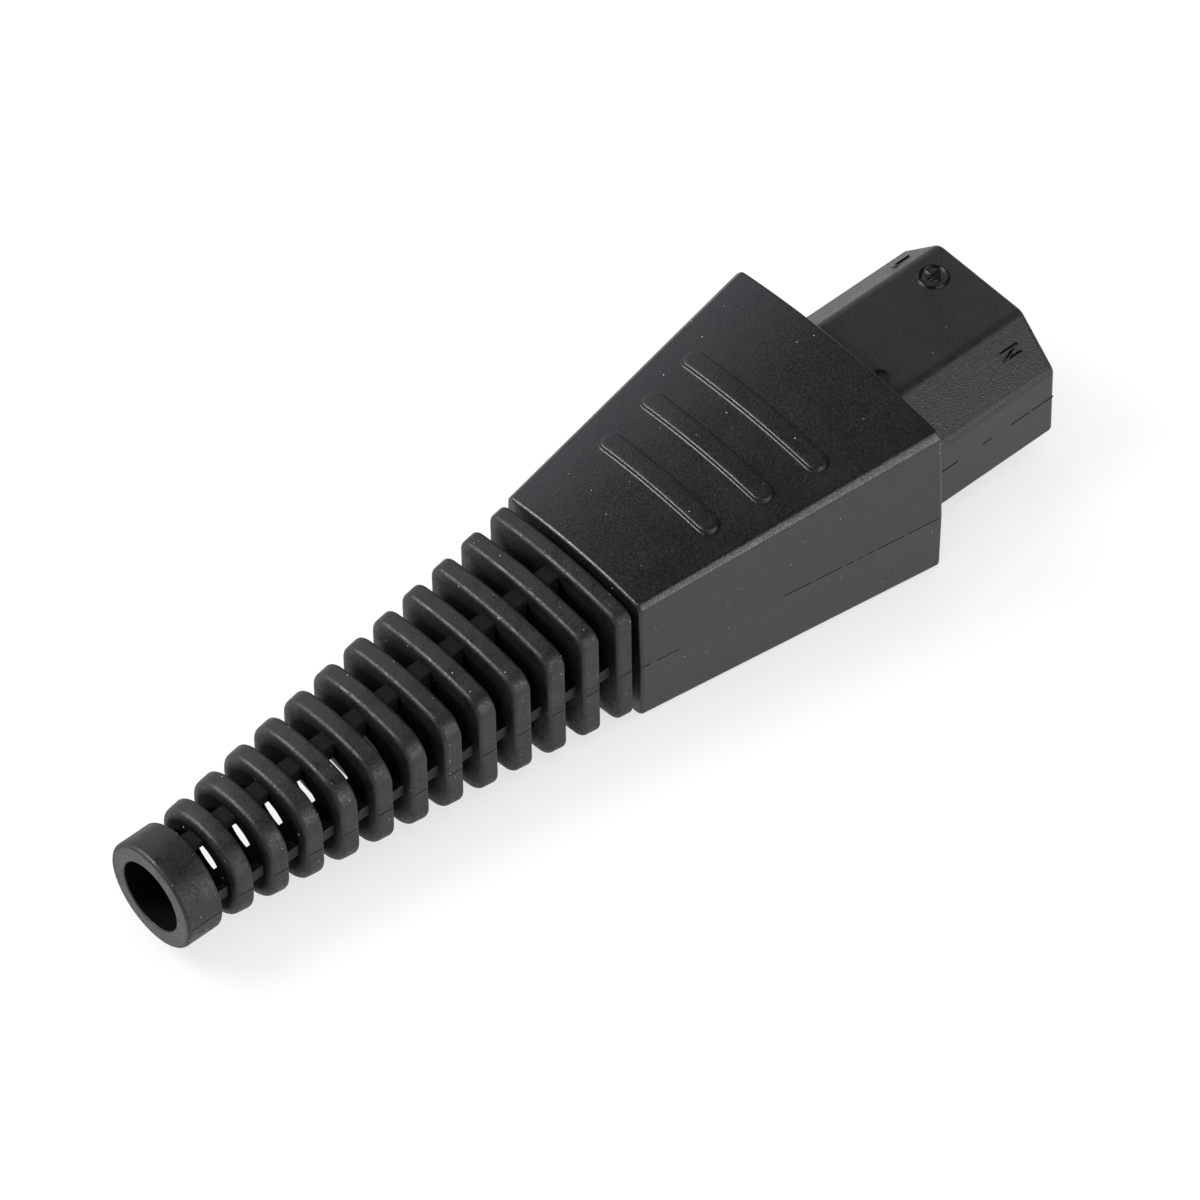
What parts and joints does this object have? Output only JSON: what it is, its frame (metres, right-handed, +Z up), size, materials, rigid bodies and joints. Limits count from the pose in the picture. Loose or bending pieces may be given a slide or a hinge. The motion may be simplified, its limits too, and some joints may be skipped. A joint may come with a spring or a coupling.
{
  "type": "rewireable power plug",
  "caption": "Rewireable appliance power connector: chamfered nose with pin slots, tapered cover with grip ribs, and a ribbed, windowed bend-relief boot round the cable way.",
  "frame": {"origin": "on the cover's flat underside, below the cable axis, where the boot meets the cover", "axes": "+X along the cable axis towards the nose, +Z up from the underside towards the ribbed top, +Y towards the live pole"},
  "size_m": [0.1184, 0.0334, 0.0228],
  "materials": {
    "cover_nylon": "fine-textured black nylon moulding",
    "insert_nylon": "smooth black nylon moulding",
    "inner_nylon": "plain black nylon moulding",
    "boot_rubber": "matt black moulded rubber",
    "brass": "plain pressed and turned brass",
    "steel": "zinc-plated steel"
  },
  "bodies": {
    "root": {"cover": "cover_nylon", "bend_relief_boot": "boot_rubber", "socket_insert": "insert_nylon", "terminal_retainer": "inner_nylon", "terminal_screws": "steel", "cord_clamp": "inner_nylon", "cord_clamp_screws": "steel", "threaded_insert": "brass", "cover_screw": "steel", "live_contact": "brass", "live_spring": "steel", "live_terminal": "brass", "neutral_contact": "brass", "neutral_spring": "steel", "neutral_terminal": "brass", "earth_contact": "brass", "earth_spring": "steel", "earth_terminal": "brass"}
  },
  "joints": []
}
